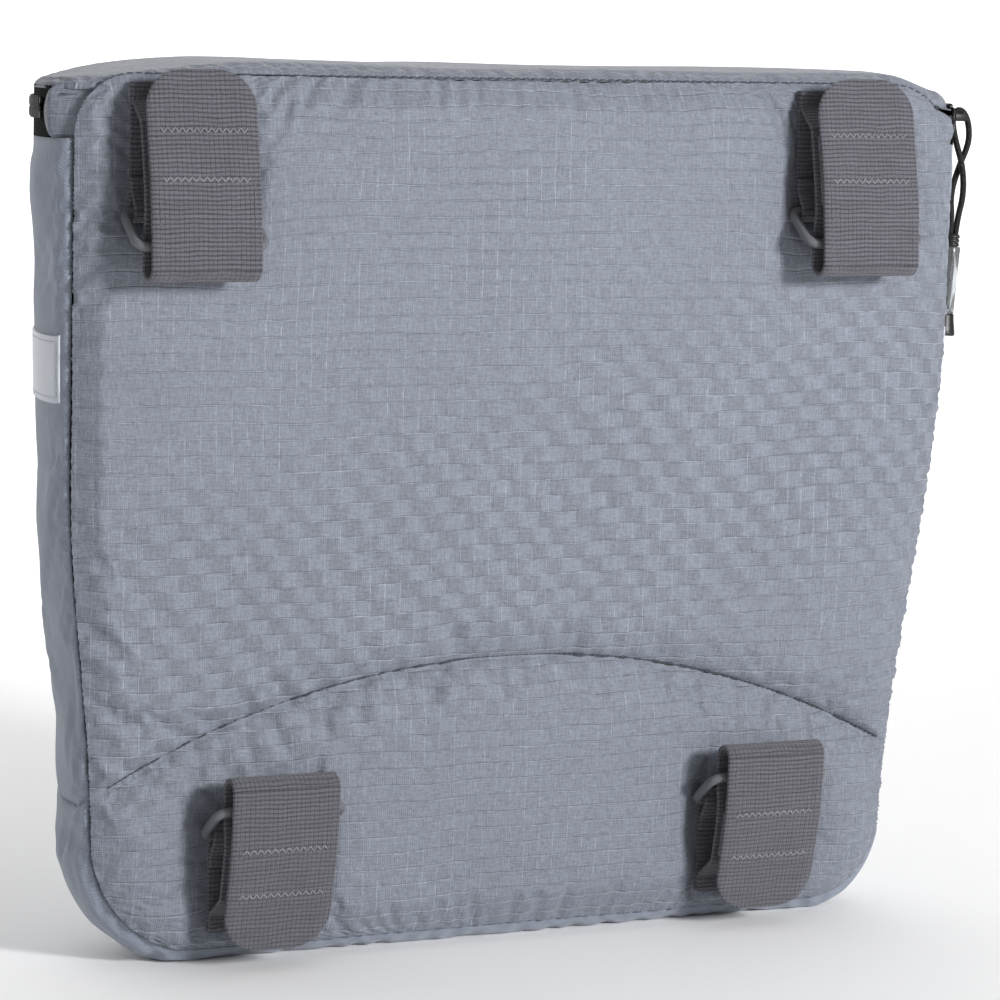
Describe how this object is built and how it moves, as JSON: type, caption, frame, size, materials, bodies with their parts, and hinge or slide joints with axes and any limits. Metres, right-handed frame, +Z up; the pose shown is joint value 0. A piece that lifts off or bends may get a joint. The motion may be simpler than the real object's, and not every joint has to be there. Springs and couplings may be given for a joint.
{
  "type": "pannier bag",
  "caption": "Soft box-shaped bicycle bag with padded back panel, zipped lid, cord puller and hook-and-loop straps that hold it to a rack.",
  "frame": {"origin": "on the surface that the bag stands on, midway between its sides and below the back seam", "axes": "+Z up, -Y out of the back panel that faces the rack, +X to the right when looking at the back panel"},
  "size_m": [0.3535, 0.0934, 0.2955],
  "materials": {
    "ripstop": "matte ripstop polyester, slight sheen",
    "twill": "matte twill polyester",
    "foam": "closed-cell foam",
    "board": "smooth board",
    "lining": "plain woven lining",
    "binding": "ribbed binding tape",
    "reflective": "glass-bead reflective",
    "zip_tape": "woven herringbone tape",
    "zip_coil": "nylon coil",
    "zip_metal": "black enamel",
    "cord": "braided cord",
    "black_plastic": "satin moulded plastic",
    "clear_tube": "clear flexible plastic",
    "webbing": "ribbed woven webbing",
    "hook": "hook tape",
    "loop": "brushed loop tape",
    "ring": "satin moulded plastic"
  },
  "bodies": {
    "bag": {"back_panel_upper": "ripstop", "back_panel_lower": "ripstop", "front_panel": "ripstop", "left_zip_end": "ripstop", "right_zip_end": "ripstop", "left_gusset": "twill", "right_gusset": "twill", "bottom_gusset": "twill", "back_foam": "foam", "back_stiffener": "board", "back_lining": "lining", "body_lining": "lining", "back_seam_binding": "binding", "front_seam_binding": "binding", "left_reflector": "reflective", "right_reflector": "reflective", "zip_lower_tape": "zip_tape", "zip_lower_coil": "zip_coil", "zip_lower_stops": "zip_metal", "top_left_strap_base": "webbing", "top_left_strap_webbing": "webbing", "top_left_strap_loop_patch": "loop", "top_right_strap_base": "webbing", "top_right_strap_webbing": "webbing", "top_right_strap_loop_patch": "loop", "bottom_left_strap_base": "webbing", "bottom_left_strap_webbing": "webbing", "bottom_left_strap_loop_patch": "loop", "bottom_right_strap_base": "webbing", "bottom_right_strap_webbing": "webbing", "bottom_right_strap_loop_patch": "loop"},
    "lid": {"lid_panel": "ripstop", "lid_lining": "lining", "zip_upper_tape": "zip_tape", "zip_upper_coil": "zip_coil", "zip_upper_stops": "zip_metal"},
    "slider": {"zip_slider": "zip_metal"},
    "puller": {"puller_cord": "cord", "puller_ferrule": "black_plastic", "puller_tube": "clear_tube", "puller_end_cap": "black_plastic"},
    "top_left_tail": {"top_left_strap_tail": "webbing", "top_left_strap_hook_patch": "hook"},
    "top_left_ring": {"top_left_strap_ring": "ring"},
    "top_right_tail": {"top_right_strap_tail": "webbing", "top_right_strap_hook_patch": "hook"},
    "top_right_ring": {"top_right_strap_ring": "ring"},
    "bottom_left_tail": {"bottom_left_strap_tail": "webbing", "bottom_left_strap_hook_patch": "hook"},
    "bottom_left_ring": {"bottom_left_strap_ring": "ring"},
    "bottom_right_tail": {"bottom_right_strap_tail": "webbing", "bottom_right_strap_hook_patch": "hook"},
    "bottom_right_ring": {"bottom_right_strap_ring": "ring"}
  },
  "joints": [
    {"name": "lid_hinge", "type": "hinge", "parent": "bag", "child": "lid", "pos_m": [0, 0.0012, 0.2955], "axis": [1, 0, 0], "range_deg": [0, 170]},
    {"name": "zip_travel", "type": "hinge", "parent": "bag", "child": "slider", "pos_m": [0.1215, 0.014, 0.2815], "axis": [0, 0, 1], "range_deg": [0, 78]},
    {"name": "puller_swing", "type": "hinge", "parent": "slider", "child": "puller", "pos_m": [0.1811, 0.014, 0.2815], "axis": [0, -1, 0], "range_deg": [-1.5, 110]},
    {"name": "top_left_peel", "type": "hinge", "parent": "bag", "child": "top_left_tail", "pos_m": [-0.123, -0.0255, 0.2328], "axis": [1, 0, 0], "range_deg": [0, 150]},
    {"name": "top_left_ring_rock", "type": "hinge", "parent": "bag", "child": "top_left_ring", "pos_m": [-0.123, -0.00645, 0.2492], "axis": [1, 0, 0], "range_deg": [0, 4]},
    {"name": "top_right_peel", "type": "hinge", "parent": "bag", "child": "top_right_tail", "pos_m": [0.123, -0.0255, 0.2328], "axis": [1, 0, 0], "range_deg": [0, 150]},
    {"name": "top_right_ring_rock", "type": "hinge", "parent": "bag", "child": "top_right_ring", "pos_m": [0.123, -0.00645, 0.2492], "axis": [1, 0, 0], "range_deg": [0, 4]},
    {"name": "bottom_left_peel", "type": "hinge", "parent": "bag", "child": "bottom_left_tail", "pos_m": [-0.092, -0.0255, 0.061], "axis": [-1, 0, 0], "range_deg": [0, 150]},
    {"name": "bottom_left_ring_rock", "type": "hinge", "parent": "bag", "child": "bottom_left_ring", "pos_m": [-0.092, -0.00645, 0.0446], "axis": [1, 0, 0], "range_deg": [-4, 1]},
    {"name": "bottom_right_peel", "type": "hinge", "parent": "bag", "child": "bottom_right_tail", "pos_m": [0.092, -0.0255, 0.061], "axis": [-1, 0, 0], "range_deg": [0, 150]},
    {"name": "bottom_right_ring_rock", "type": "hinge", "parent": "bag", "child": "bottom_right_ring", "pos_m": [0.092, -0.00645, 0.0446], "axis": [1, 0, 0], "range_deg": [-4, 1]}
  ]
}
